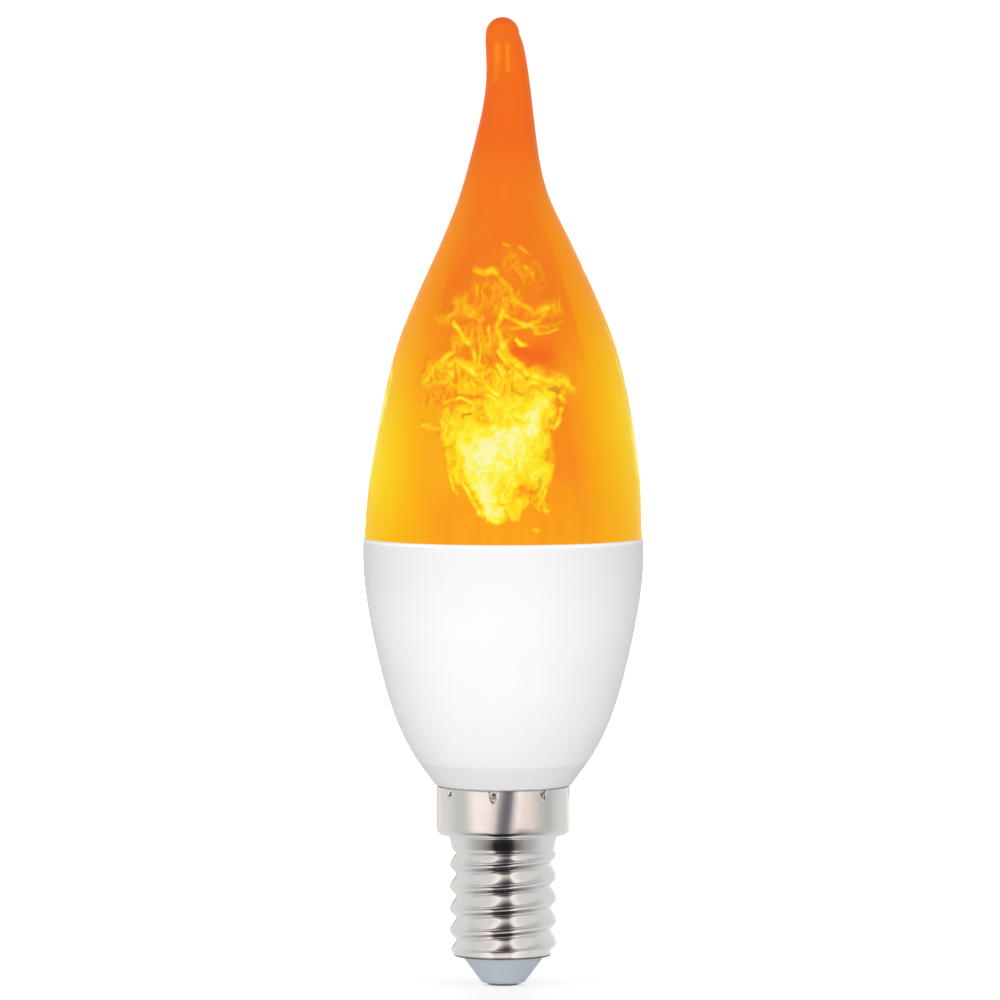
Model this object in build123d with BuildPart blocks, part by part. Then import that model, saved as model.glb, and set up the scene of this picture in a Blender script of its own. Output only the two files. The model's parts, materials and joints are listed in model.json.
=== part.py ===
from build123d import *
from math import cos, radians, sin
import os

os.makedirs("parts", exist_ok=True)

# Heights are along the lamp axis, with zero on the centre contact's face.
# The lamp stands cap down, +Z points to the tip and -Y to the viewer.

# Screw cap, small Edison size: rolled from sheet, 17 mm collar
sheet = 0.3
cap_height = 25.5
collar_radius = 8.5
collar_height = 6.2
collar_corner = 0.8
neck_radius = 6.65
neck_height = 1.2
thread_major_radius = 6.8
thread_minor_radius = 6.05
thread_pitch = 2.822
thread_turns = 4.1
thread_start = 1.8
thread_land = 0.16
thread_sink = 0.1
lip_radius = 5.4
stake_count = 8
stake_radius = 0.5
stake_drop = 0.75
stake_start_angle = -98.6

# Insulator and centre contact
insulator_cone_height = 3.4
insulator_nose_radius = 2.7
insulator_nose_corner = 0.5
insulator_plug_height = 1.7
contact_radius = 2.0
contact_thickness = 0.3
contact_edge = 0.15
contact_stem_radius = 1.1

# Clearances
slip = 0.05
side_play = 0.1
open_play = 0.15

# Housing: white shell from the collar up to the rim
rim_height = 57.2
rim_radius = 17.84
rim_edge = 0.25
belly_swell = 0.06
belly_drop = 2.3
foot_cone_height = 2.8
foot_cone_radius = 10.75
foot_radius = 8.7
housing_wall = 1.6
mouth_wall = 1.74
ledge_drop = 7.2
ledge_width = 1.5
ledge_depth = 7.0
neck_wall = 1.5
neck_chamfer = 0.6
guide_depth = 0.5
guide_floor = 1.2

# Cover: translucent, drawn out into a bent tip
cover_height = 66.3
cover_step = 0.12
cover_wall = 1.3
cover_shoulder = 1.2
spigot_wall = 1.2
tail_radius = 2.15
tail_wall = 0.9
tip_wall = 1.2

# Lamp core in the cover: six-sided carrier, wrapped board and LEDs
core_sides = 6
core_flat_radius = 6.5
core_wall = 1.2
core_height = 37.0
wrap_thickness = 0.2
wrap_inset = 0.5
led_rows = 7
led_row_pitch = 4.9
led_first_row = 3.6
led_width = 2.8
led_length = 3.5
led_height = 0.7
lens_width = 2.1
lens_length = 2.8
lens_height = 0.1
chip_length = 1.6
chip_width = 0.8
chip_height = 0.45
chip_offset = 2.7
board_thickness = 1.2
top_board_radius = 6.5
top_led_radius = 4.1
top_led_count = 3

# Driver board and its connections
driver_thickness = 1.0
driver_half_width = 10.5
driver_shoulder_rise = 0.15
driver_shoulder_height = 5.0
tab_offset = 9.4
tab_width = 2.0
tab_rise = 0.8
pin_count = 4
pin_pitch = 2.54
pin_width = 0.6
pin_below = 4.0
pin_above = 1.0
lead_radius = 0.25
lead_bend = 0.7
wire_radius = 0.3
neutral_x = 4.0
neutral_lap = 3.0
neutral_drop = 2.2
neutral_bend = 0.7

# Components on the driver board
capacitor_radius = 4.0
capacitor_height = 11.5
capacitor_x = -4.6
capacitor_drop = 14.0
capacitor_lead_pitch = 3.5
capacitor_lead_drop = 1.7
capacitor_lead_tail = 0.8
capacitor_edge = 0.4
inductor_radius = 3.5
inductor_length = 4.6
inductor_flange = 0.8
inductor_groove = 0.5
inductor_x = 5.0
inductor_drop = 9.0
rectifier_rise = 6.4
rectifier_size = (3.9, 4.7, 2.4)
rectifier_lead_count = 2
driver_ic_x = 5.0
driver_ic_drop = 12.0
driver_ic_size = (3.9, 4.9, 1.5)
driver_ic_lead_count = 4
controller_ic_x = -4.4
controller_ic_drop = 9.4
controller_ic_size = (3.9, 9.9, 1.5)
controller_ic_lead_count = 7
ic_lead_pitch = 1.27
ic_lead_width = 0.42
ic_lead_reach = 1.0
ic_lead_thickness = 0.2
ic_standoff = 0.1
small_chip_length = 2.0
small_chip_width = 1.25
small_chip_height = 0.5
small_chip_pitch = 2.0
small_chip_count = 4
upper_chips_x = 5.6
upper_chips_drop = 6.4
lower_chips_rise = 2.2
resistor_radius = 1.5
resistor_length = 8.0
resistor_bottom = 8.0
resistor_edge = 0.4
resistor_lead_lap = 2.6

# Cover outline: share of the height below the round tip, share of the taper, sway in mm
cover_stations = (
    (0.000, 1.000, 0.00),
    (0.075, 0.985, 0.10),
    (0.165, 0.943, 0.28),
    (0.274, 0.865, 0.36),
    (0.385, 0.751, 0.38),
    (0.496, 0.565, 0.38),
    (0.605, 0.358, 0.30),
    (0.687, 0.216, 0.10),
    (0.770, 0.130, 0.25),
    (0.879, 0.053, 0.60),
    (0.948, 0.027, 0.40),
    (1.000, 0.000, -0.10),
)
# Housing bowl, from belly to foot cone: share of the drop, share of the narrowing
bowl_shares = ((0.0, 0.0), (0.28, 0.108), (0.52, 0.294), (0.80, 0.607), (1.0, 1.0))

# Heights and radii worked out from the values above
collar_floor = cap_height - collar_height
shell_end = contact_thickness + insulator_cone_height
thread_first = shell_end + thread_start
neck_end = collar_floor - neck_height
taper_end = neck_end - (neck_radius - thread_minor_radius)
tube_inner_radius = thread_minor_radius - sheet
insulator_cone_radius = lip_radius - open_play
insulator_plug_radius = tube_inner_radius - slip
insulator_seat = shell_end + sheet
insulator_top = insulator_seat + insulator_plug_height
stem_top = insulator_top + slip
housing_neck_radius = collar_radius - sheet - slip
housing_neck_end = collar_floor + sheet
housing_foot = cap_height + open_play
foot_cone_top = housing_foot + foot_cone_height
belly_radius = rim_radius + belly_swell
cover_radius = rim_radius - cover_step
neck_bore_radius = housing_neck_radius - neck_wall
mouth_radius = rim_radius - mouth_wall
ledge_height = rim_height - ledge_drop
ledge_radius = mouth_radius - ledge_width
ledge_foot = ledge_height - ledge_depth
stake_height = cap_height - stake_drop
core_base = ledge_height + board_thickness
core_top = core_base + core_height
wrap_flat_radius = core_flat_radius + wrap_thickness
spigot_radius = mouth_radius - slip
spigot_bore_radius = spigot_radius - spigot_wall
spigot_end = core_base + side_play
driver_face = driver_thickness / 2
tongue_half_width = neck_bore_radius + guide_depth - side_play
tongue_end = housing_neck_end + guide_floor
lead_line = -driver_face - lead_radius
driver_shoulder_low = foot_cone_top + driver_shoulder_rise
driver_shoulder_high = driver_shoulder_low + driver_shoulder_height
capacitor_bottom = ledge_height - capacitor_drop
inductor_z = ledge_height - inductor_drop
rectifier_z = tongue_end + rectifier_rise
driver_ic_z = ledge_height - driver_ic_drop
controller_ic_z = ledge_height - controller_ic_drop
small_chip_rows = (
    (upper_chips_x, ledge_height - upper_chips_drop),
    (0, tongue_end + lower_chips_rise),
)
top_board_top = core_top + board_thickness
stand_on = (Align.CENTER, Align.CENTER, Align.MIN)
front_plane = Plane(origin=(0, -driver_face, 0), x_dir=(1, 0, 0), z_dir=(0, -1, 0))
back_plane = Plane(origin=(0, driver_face, 0), x_dir=(-1, 0, 0), z_dir=(0, 1, 0))


def shell_outline(inset):
    """Outline of the cap's sheet, from the collar's rim to the lower end."""
    return (
        (collar_radius - inset, cap_height),
        (collar_radius - inset, collar_floor + inset),
        (neck_radius - inset, collar_floor + inset),
        (neck_radius - inset, neck_end),
        (thread_minor_radius - inset, taper_end),
        (thread_minor_radius - inset, shell_end + inset),
    )


def turned_face(points, corners):
    """Closed face in the XZ plane between the axis and an outline, top to bottom."""
    with BuildSketch(Plane.XZ) as face:
        with BuildLine():
            line = FilletPolyline(*points, radius=corners)
            Polyline(line @ 1, (0, points[-1][1]), (0, points[0][1]), line @ 0)
        make_face()
    return face.sketch


def bowl_points(inset):
    """Points of the housing's bowl, from the belly down to the foot cone."""
    belly_height = rim_height - belly_drop
    drop = belly_height - foot_cone_top
    narrowing = belly_radius - foot_cone_radius
    return [(belly_radius - narrowing * share - inset, belly_height - drop * down)
            for down, share in bowl_shares]


def cover_sections(first_height, last_height, base_wall, end_wall):
    """Height, radius and sway of the cover's sections between two heights."""
    sections = []
    loft_height = cover_height - tail_radius
    for height_share, taper_share, sway in cover_stations:
        wall = end_wall + (base_wall - end_wall) * taper_share
        radius = tail_radius + (cover_radius - tail_radius) * taper_share - wall
        height = min(max(loft_height * height_share, first_height), last_height)
        sections.append((rim_height + height, radius, sway))
    return sections


def face_planes(flat_radius, height, offset=0.0):
    """One plane on each flat of the six-sided core, facing outwards."""
    planes = []
    for side in range(core_sides):
        angle = radians((side + 0.5) * 360 / core_sides)
        across = (-sin(angle), cos(angle), 0)
        origin = (
            flat_radius * cos(angle) + offset * across[0],
            flat_radius * sin(angle) + offset * across[1],
            height,
        )
        planes.append(Plane(origin=origin, x_dir=across, z_dir=(cos(angle), sin(angle), 0)))
    return planes


def row_heights():
    """Heights of the LED rows."""
    return [core_base + led_first_row + row * led_row_pitch for row in range(led_rows)]


def gull_wing_chip(plane, x, z, size, lead_count):
    """Moulded chip on a board face, its leads along two sides."""
    width, length, height = size
    with BuildPart() as chip:
        with BuildSketch(plane.offset(ic_standoff)):
            with Locations((x, z)):
                Rectangle(width, length)
        extrude(amount=height - ic_standoff)
        for side in (-1, 1):
            for lead in range(lead_count):
                lead_z = z + (lead - (lead_count - 1) / 2) * ic_lead_pitch
                with BuildSketch(plane):
                    with Locations((x + side * (width + ic_lead_reach) / 2, lead_z)):
                        Rectangle(ic_lead_reach, ic_lead_width)
                extrude(amount=ic_lead_thickness)
                with BuildSketch(plane):
                    with Locations((x + side * (width / 2), lead_z)):
                        Rectangle(2 * ic_lead_thickness, ic_lead_width)
                extrude(amount=height / 2)
    return chip.part


# Screw shell: rolled tube with collar, thread and staking dimples
with BuildPart() as cap_cavity:
    add(turned_face(shell_outline(sheet), (collar_corner - sheet, 0, 0, 0)))
    revolve(axis=Axis.Z)
    with Locations((0, 0, stake_height)):
        with PolarLocations(collar_radius, stake_count, start_angle=stake_start_angle):
            Sphere(stake_radius + sheet, mode=Mode.SUBTRACT)

ridge_half_width = (thread_pitch - thread_land) / 2
ridge_middle = (thread_minor_radius + thread_major_radius) / 2
ridge_root = thread_minor_radius - thread_sink

with BuildPart() as thread_ridge:
    with BuildLine() as ridge_path:
        Helix(
            thread_pitch,
            thread_pitch * thread_turns,
            thread_minor_radius,
            center=(0, 0, thread_first),
        )
    with BuildSketch(Plane.XZ):
        with BuildLine():
            flank = Spline(
                (ridge_root, thread_first - ridge_half_width),
                (ridge_middle, thread_first - ridge_half_width / 2),
                (thread_major_radius, thread_first),
                (ridge_middle, thread_first + ridge_half_width / 2),
                (ridge_root, thread_first + ridge_half_width),
            )
            Line(flank @ 1, flank @ 0)
        make_face()
    sweep(path=ridge_path.line, is_frenet=True)

with BuildPart() as screw_shell:
    add(turned_face(shell_outline(0), (collar_corner, 0, 0, 0)))
    revolve(axis=Axis.Z)
    add(thread_ridge.part)
    add(cap_cavity.part, mode=Mode.SUBTRACT)
    with Locations((0, 0, stake_height)):
        with PolarLocations(collar_radius, stake_count, start_angle=stake_start_angle):
            Sphere(stake_radius, mode=Mode.SUBTRACT)
    with BuildSketch(Plane.XY.offset(shell_end)):
        Circle(lip_radius)
    extrude(amount=sheet, mode=Mode.SUBTRACT)

screw_shell.part.label = "screw_shell"
export_step(screw_shell.part, "parts/screw_shell.step")

# Insulator: cone below the shell's lip, plug resting on the lip
insulator_outline = (
    (insulator_plug_radius, insulator_top),
    (insulator_plug_radius, insulator_seat),
    (insulator_cone_radius, insulator_seat),
    (insulator_cone_radius, shell_end),
    (insulator_nose_radius, contact_thickness),
    (contact_stem_radius, contact_thickness),
)

with BuildPart() as cap_insulator:
    add(turned_face(insulator_outline, (0, 0, 0, insulator_nose_corner)))
    revolve(axis=Axis.Z)
    with BuildSketch(Plane.XY.offset(contact_thickness)):
        Circle(contact_stem_radius + slip)
    extrude(amount=insulator_top - contact_thickness, mode=Mode.SUBTRACT)

cap_insulator.part.label = "cap_insulator"
export_step(cap_insulator.part, "parts/cap_insulator.step")

# Centre contact: flat button with a stem through the insulator
with BuildPart() as centre_contact:
    with BuildSketch():
        Circle(contact_radius)
    extrude(amount=contact_thickness)
    fillet(centre_contact.edges().group_by(Axis.Z)[0], contact_edge)
    with BuildSketch(Plane.XY.offset(contact_thickness)):
        Circle(contact_stem_radius)
    extrude(amount=stem_top - contact_thickness)

centre_contact.part.label = "centre_contact"
export_step(centre_contact.part, "parts/centre_contact.step")

# Housing: bowl with a mouth for the cover, a ledge, and a neck in the collar
with BuildPart() as housing_cavity:
    with BuildSketch(Plane.XZ):
        with BuildLine():
            inner_bowl = [point for point in bowl_points(housing_wall) if point[1] < ledge_foot]
            bowl = Spline((ledge_radius, ledge_foot), *inner_bowl)
            Polyline(
                bowl @ 1,
                (neck_bore_radius, housing_foot),
                (neck_bore_radius, housing_neck_end),
                (0, housing_neck_end),
                (0, rim_height),
                (mouth_radius, rim_height),
                (mouth_radius, ledge_height),
                (ledge_radius, ledge_height),
                bowl @ 0,
            )
        make_face()
    revolve(axis=Axis.Z)
    with BuildSketch(Plane.XY.offset(tongue_end)):
        Rectangle(
            2 * (neck_bore_radius + guide_depth),
            driver_thickness + 2 * side_play,
        )
    extrude(amount=foot_cone_top - tongue_end)

with BuildPart() as housing:
    with BuildSketch(Plane.XZ):
        with BuildLine():
            bowl = Spline((rim_radius, rim_height), *bowl_points(0))
            Polyline(
                bowl @ 1,
                (foot_radius, housing_foot),
                (housing_neck_radius, housing_foot),
                (housing_neck_radius, housing_neck_end),
                (0, housing_neck_end),
                (0, rim_height),
                bowl @ 0,
            )
        make_face()
    revolve(axis=Axis.Z)
    chamfer(housing.edges().group_by(Axis.Z)[0].sort_by(SortBy.RADIUS)[-1], neck_chamfer)
    fillet(housing.edges().group_by(Axis.Z)[-1].sort_by(SortBy.RADIUS)[-1], rim_edge)
    add(housing_cavity.part, mode=Mode.SUBTRACT)
    with Locations((0, 0, stake_height)):
        with PolarLocations(collar_radius, stake_count, start_angle=stake_start_angle):
            Sphere(stake_radius + sheet + slip, mode=Mode.SUBTRACT)

housing.part.label = "housing"
export_step(housing.part, "parts/housing.step")

# Cover: lofted shell with a spigot in the housing's mouth
with BuildPart() as cover_cavity:
    for height, radius, sway in cover_sections(
        cover_shoulder, cover_height - tail_radius - tip_wall, cover_wall, tail_wall
    ):
        with BuildSketch(Plane((sway, 0, height))):
            Circle(radius)
    loft()

with BuildPart() as flame_cover:
    for height, radius, sway in cover_sections(0, cover_height, 0, 0):
        with BuildSketch(Plane((sway, 0, height))):
            Circle(radius)
    loft()
    with Locations((sway, 0, height)):
        Sphere(radius, arc_size1=0, align=stand_on)
    add(cover_cavity.part, mode=Mode.SUBTRACT)
    with BuildSketch(Plane.XY.offset(spigot_end)):
        Circle(spigot_radius)
    extrude(amount=rim_height - spigot_end)
    with BuildSketch(Plane.XY.offset(spigot_end)):
        Circle(spigot_bore_radius)
    extrude(amount=rim_height + cover_shoulder - spigot_end, mode=Mode.SUBTRACT)

flame_cover.part.label = "flame_cover"
export_step(flame_cover.part, "parts/flame_cover.step")

# Base board: on the housing's ledge, slotted for the driver board's tabs and pins
pin_y = driver_face + pin_width / 2

with BuildPart() as base_board:
    with BuildSketch(Plane.XY.offset(ledge_height)):
        Circle(mouth_radius - side_play)
        with Locations((-tab_offset, 0), (tab_offset, 0)):
            Rectangle(
                tab_width + 2 * side_play,
                driver_thickness + 2 * side_play,
                mode=Mode.SUBTRACT,
            )
        with Locations((0, pin_y)):
            with GridLocations(pin_pitch, 1, pin_count, 1):
                Rectangle(
                    pin_width + 2 * side_play,
                    pin_width + 2 * side_play,
                    mode=Mode.SUBTRACT,
                )
    extrude(amount=board_thickness)

base_board.part.label = "base_board"
export_step(base_board.part, "parts/base_board.step")

# Carrier: six-sided tube with a closed top, standing on the base board
with BuildPart() as led_carrier:
    with BuildSketch(Plane.XY.offset(core_base)):
        RegularPolygon(core_flat_radius, core_sides, major_radius=False)
    extrude(amount=core_height)
    with BuildSketch(Plane.XY.offset(core_base)):
        RegularPolygon(core_flat_radius - core_wall, core_sides, major_radius=False)
    extrude(amount=core_height - core_wall, mode=Mode.SUBTRACT)

led_carrier.part.label = "led_carrier"
export_step(led_carrier.part, "parts/led_carrier.step")

# Thin board folded round the carrier
with BuildPart() as led_wrap_board:
    with BuildSketch(Plane.XY.offset(core_base)):
        RegularPolygon(wrap_flat_radius, core_sides, major_radius=False)
        RegularPolygon(
            core_flat_radius, core_sides, major_radius=False, mode=Mode.SUBTRACT
        )
    extrude(amount=core_height - wrap_inset)

led_wrap_board.part.label = "led_wrap_board"
export_step(led_wrap_board.part, "parts/led_wrap_board.step")

# Flame LEDs: one column on each flat
led_planes = [plane for height in row_heights() for plane in face_planes(wrap_flat_radius, height)]

with BuildPart() as flame_leds:
    with Locations(*led_planes):
        Box(led_width, led_length, led_height, align=stand_on)
    with Locations(*[plane.offset(led_height) for plane in led_planes]):
        Box(lens_width, lens_length, lens_height, align=stand_on)

flame_leds.part.label = "flame_leds"
export_step(flame_leds.part, "parts/flame_leds.step")

# One small resistor beside each flame LED
chip_planes = [
    plane
    for height in row_heights()
    for plane in face_planes(wrap_flat_radius, height, chip_offset)
]

with BuildPart() as led_resistors:
    with Locations(*chip_planes):
        Box(chip_width, chip_length, chip_height, align=stand_on)

led_resistors.part.label = "led_resistors"
export_step(led_resistors.part, "parts/led_resistors.step")

# Top board and its LEDs
with BuildPart() as top_board:
    with BuildSketch(Plane.XY.offset(core_top)):
        Circle(top_board_radius)
    extrude(amount=board_thickness)

top_board.part.label = "top_board"
export_step(top_board.part, "parts/top_board.step")

with BuildPart() as top_leds:
    with Locations((0, 0, top_board_top)):
        Box(led_width, led_length, led_height, align=stand_on)
        with PolarLocations(top_led_radius, top_led_count):
            Box(led_width, led_length, led_height, align=stand_on)

top_leds.part.label = "top_leds"
export_step(top_leds.part, "parts/top_leds.step")

# Driver board: upright, its tongue in the neck's guides, its tabs in the base board
driver_outline = (
    (-tongue_half_width, tongue_end),
    (tongue_half_width, tongue_end),
    (tongue_half_width, driver_shoulder_low),
    (driver_half_width, driver_shoulder_high),
    (driver_half_width, ledge_height),
    (-driver_half_width, ledge_height),
    (-driver_half_width, driver_shoulder_high),
    (-tongue_half_width, driver_shoulder_low),
)
capacitor_lead_z = capacitor_bottom - capacitor_lead_drop

with BuildPart() as driver_board:
    with BuildSketch(Plane.XZ):
        with BuildLine():
            Polyline(*driver_outline, close=True)
        make_face()
        with Locations((-tab_offset, ledge_height), (tab_offset, ledge_height)):
            Rectangle(
                tab_width,
                board_thickness + tab_rise,
                align=(Align.CENTER, Align.MIN),
            )
        with Locations((capacitor_x, capacitor_lead_z)):
            with GridLocations(capacitor_lead_pitch, 1, 2, 1):
                Circle(lead_radius + open_play, mode=Mode.SUBTRACT)
    extrude(amount=driver_face, both=True)

driver_board.part.label = "driver_board"
export_step(driver_board.part, "parts/driver_board.step")

# Header pins: on the driver board's back, up through the base board
with BuildPart() as header_pins:
    with BuildSketch(Plane.XY.offset(ledge_height - pin_below)):
        with Locations((0, pin_y)):
            with GridLocations(pin_pitch, 1, pin_count, 1):
                Rectangle(pin_width, pin_width)
    extrude(amount=pin_below + board_thickness + pin_above)

header_pins.part.label = "header_pins"
export_step(header_pins.part, "parts/header_pins.step")

# Filter capacitor: can against the board's front, leads bent through the board
capacitor_y = -driver_face - capacitor_radius

with BuildPart() as filter_capacitor:
    with BuildSketch(Plane.XY.offset(capacitor_bottom)):
        with Locations((capacitor_x, capacitor_y)):
            Circle(capacitor_radius)
    extrude(amount=capacitor_height)
    fillet(filter_capacitor.edges().group_by(Axis.Z)[-1], capacitor_edge)
    for side in (-1, 1):
        lead_x = capacitor_x + side * capacitor_lead_pitch / 2
        with BuildLine() as capacitor_lead:
            FilletPolyline(
                (lead_x, capacitor_y, capacitor_bottom + capacitor_edge),
                (lead_x, capacitor_y, capacitor_lead_z),
                (lead_x, driver_face + capacitor_lead_tail, capacitor_lead_z),
                radius=lead_bend,
            )
        with BuildSketch(Plane(capacitor_lead.line @ 0, z_dir=capacitor_lead.line % 0)):
            Circle(lead_radius)
        sweep(path=capacitor_lead.line)

filter_capacitor.part.label = "filter_capacitor"
export_step(filter_capacitor.part, "parts/filter_capacitor.step")

# Inductor: drum core on the board's front
with BuildPart() as inductor:
    with BuildSketch(front_plane):
        with Locations((inductor_x, inductor_z)):
            Circle(inductor_radius)
    extrude(amount=inductor_length)
    with BuildSketch(front_plane.offset(inductor_flange)):
        with Locations((inductor_x, inductor_z)):
            Circle(inductor_radius)
            Circle(inductor_radius - inductor_groove, mode=Mode.SUBTRACT)
    extrude(amount=inductor_length - 2 * inductor_flange, mode=Mode.SUBTRACT)

inductor.part.label = "inductor"
export_step(inductor.part, "parts/inductor.step")

# Chips on the board's back: their places, sizes and leads on each side
rectifier = gull_wing_chip(
    back_plane, 0, rectifier_z, rectifier_size, rectifier_lead_count
)
rectifier.label = "rectifier"
export_step(rectifier, "parts/rectifier.step")

driver_ic = gull_wing_chip(
    back_plane, -driver_ic_x, driver_ic_z, driver_ic_size, driver_ic_lead_count
)
driver_ic.label = "driver_ic"
export_step(driver_ic, "parts/driver_ic.step")

controller_ic = gull_wing_chip(
    back_plane, -controller_ic_x, controller_ic_z, controller_ic_size, controller_ic_lead_count
)
controller_ic.label = "controller_ic"
export_step(controller_ic, "parts/controller_ic.step")

with BuildPart() as driver_chips:
    for row_x, row_z in small_chip_rows:
        with BuildSketch(back_plane):
            with Locations((-row_x, row_z)):
                with GridLocations(small_chip_pitch, 1, small_chip_count, 1):
                    Rectangle(small_chip_width, small_chip_length)
        extrude(amount=small_chip_height)

driver_chips.part.label = "driver_chips"
export_step(driver_chips.part, "parts/driver_chips.step")

# Fusible resistor: upright in the cap, its upper lead on the board's front
with BuildPart() as fusible_resistor:
    with BuildSketch(Plane.XY.offset(resistor_bottom)):
        with Locations((0, lead_line)):
            Circle(resistor_radius)
    extrude(amount=resistor_length)
    fillet(fusible_resistor.edges().filter_by(GeomType.CIRCLE), resistor_edge)
    with BuildSketch(Plane.XY.offset(resistor_bottom + resistor_length)):
        with Locations((0, lead_line)):
            Circle(lead_radius)
    extrude(amount=tongue_end + resistor_lead_lap - resistor_bottom - resistor_length)

fusible_resistor.part.label = "fusible_resistor"
export_step(fusible_resistor.part, "parts/fusible_resistor.step")

# Live wire: from the contact's stem to the resistor
with BuildPart() as live_wire:
    with BuildSketch(Plane.XY.offset(stem_top)):
        with Locations((0, lead_line)):
            Circle(wire_radius)
    extrude(amount=resistor_bottom - stem_top)

live_wire.part.label = "live_wire"
export_step(live_wire.part, "parts/live_wire.step")

# Neutral wire: from the board's back, down and out to the shell
neutral_y = driver_face + wire_radius
neutral_low = housing_neck_end - neutral_drop

with BuildPart() as neutral_wire:
    with BuildLine() as neutral_path:
        FilletPolyline(
            (neutral_x, neutral_y, tongue_end + neutral_lap),
            (neutral_x, neutral_y, neutral_low),
            (tube_inner_radius - open_play, neutral_y, neutral_low),
            radius=neutral_bend,
        )
    with BuildSketch(Plane(neutral_path.line @ 0, z_dir=neutral_path.line % 0)):
        Circle(wire_radius)
    sweep(path=neutral_path.line)

neutral_wire.part.label = "neutral_wire"
export_step(neutral_wire.part, "parts/neutral_wire.step")
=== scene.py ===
import json
from math import cos, exp, pi, radians, sin

import bpy
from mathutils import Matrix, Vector


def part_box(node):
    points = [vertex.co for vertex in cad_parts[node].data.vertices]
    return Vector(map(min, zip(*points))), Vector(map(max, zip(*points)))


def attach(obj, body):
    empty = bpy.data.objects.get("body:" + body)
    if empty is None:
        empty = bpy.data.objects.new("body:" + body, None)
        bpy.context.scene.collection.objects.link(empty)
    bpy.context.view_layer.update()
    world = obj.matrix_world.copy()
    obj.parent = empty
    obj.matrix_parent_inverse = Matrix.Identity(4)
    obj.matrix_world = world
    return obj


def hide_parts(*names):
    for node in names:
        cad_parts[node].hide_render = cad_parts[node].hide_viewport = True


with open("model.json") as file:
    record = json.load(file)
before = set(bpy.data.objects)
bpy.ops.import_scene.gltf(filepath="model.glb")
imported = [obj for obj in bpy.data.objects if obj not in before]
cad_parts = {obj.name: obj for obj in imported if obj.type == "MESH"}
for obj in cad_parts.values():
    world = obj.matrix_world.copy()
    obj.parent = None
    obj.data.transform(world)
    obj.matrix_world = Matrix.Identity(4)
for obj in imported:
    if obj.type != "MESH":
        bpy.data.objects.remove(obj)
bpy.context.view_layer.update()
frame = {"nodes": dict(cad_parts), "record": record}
nodes = frame["nodes"]
scene = bpy.context.scene

MM = 0.001
WHITE = (1.0, 1.0, 1.0, 1.0)

# Camera: a long lens, a little above the lamp's middle
FRAME_WIDTH = 127.5 * MM
SENSOR_WIDTH = 36.0
CAMERA_DISTANCE = 1.13
CAMERA_FAR = 20.0
CAMERA_ELEVATION = radians(2.85)
AIM_HEIGHT = 62.0 * MM
AIM_SIDE = -0.42 * MM

# Studio: strength of the white surroundings as light on things, and as seen
WORLD_FILL = 0.4
WORLD_SEEN = 1.0

# Floor: its own glow rises from the lamp's foot outwards, between two reaches in mm
FLOOR_SIZE = 3.0
BACKDROP_RADIUS = 0.5
BACKDROP_STEPS = 24
STAGE_TURNS = 96
FLOOR_FADE = (50.0, 320.0)
FLOOR_GLOW = (0.47, 0.8)

# Softboxes: name, azimuth and elevation in degrees, distance, size, watts, colour
NEUTRAL = (1.0, 1.0, 1.0)
WARM = (1.0, 0.99, 0.97)
SOFTBOXES = (
    ("rear_softbox", 180, 15, 1.3, (0.6, 0.5), 6.5, NEUTRAL),
    ("front_softbox", -3, 4, 1.3, (0.6, 0.3), 9.9, NEUTRAL),
    ("left_softbox", -62, 20, 0.9, (0.35, 0.7), 1.45, WARM),
    ("right_softbox", 62, 20, 0.9, (0.35, 0.7), 1.35, WARM),
)

# Light tent that only reflections see
TENT_RADIUS = 0.5
TENT_HEIGHT = 1.6
TENT_LIFT = 0.0004
TENT_FOOT = 0.0021
TENT_TURNS = 72
TENT_LEVEL = 1.3

# What the tent shows near the horizon: degrees to the right of the front, screen colour
TENT_COLOURS = (
    (-180, (196, 198, 198)),
    (-168, (120, 118, 120)),
    (-158, (226, 214, 204)),
    (-112, (206, 209, 206)),
    (-84, (190, 190, 187)),
    (-68, (198, 194, 190)),
    (-58, (222, 214, 208)),
    (-50, (242, 231, 222)),
    (-38, (246, 232, 224)),
    (-24, (238, 226, 218)),
    (-14, (206, 200, 195)),
    (-7, (148, 145, 145)),
    (-1, (114, 111, 113)),
    (5, (104, 102, 107)),
    (11, (120, 117, 123)),
    (18, (204, 195, 195)),
    (26, (253, 239, 234)),
    (38, (242, 225, 217)),
    (48, (230, 215, 208)),
    (58, (206, 198, 190)),
    (68, (188, 186, 180)),
    (84, (176, 175, 172)),
    (101, (197, 197, 195)),
    (118, (208, 208, 207)),
    (135, (207, 209, 207)),
    (158, (236, 228, 220)),
    (180, (196, 198, 198)),
)

# Dark bands of the tent: elevation in degrees, share. They are seen from a point on the
# thread, given by its height and its reach in mm
THREAD_MIDDLE = 13.0
THREAD_REACH = 6.0
TENT_BANDS = (
    (-90, 0.0), (-55, 0.0), (-32, 0.9), (-9, 1.0), (-3.5, 0.0),
    (3, 0.0), (8, 0.75), (20, 0.75), (36, 0.0), (90, 0.0),
)
# Grey of the bands by azimuth to either side of the front, in degrees
BAND_GREYS = (
    (0, 26), (20, 30), (32, 104), (47, 146), (65, 168),
    (81, 192), (99, 208), (153, 208), (180, 120),
)
# In front and behind, the bands reach further up and down by this factor's inverse
TENT_FRONT_STRETCH = 0.55
# The tent is pale above and below these elevations
TENT_OPEN = (radians(24), radians(44))

# Heights of the housing's rim and the cover's tip in mm, read from the frame
TIP_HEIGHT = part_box("flame_cover")[1][2] / MM
RIM_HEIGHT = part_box("housing")[1][2] / MM

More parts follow.
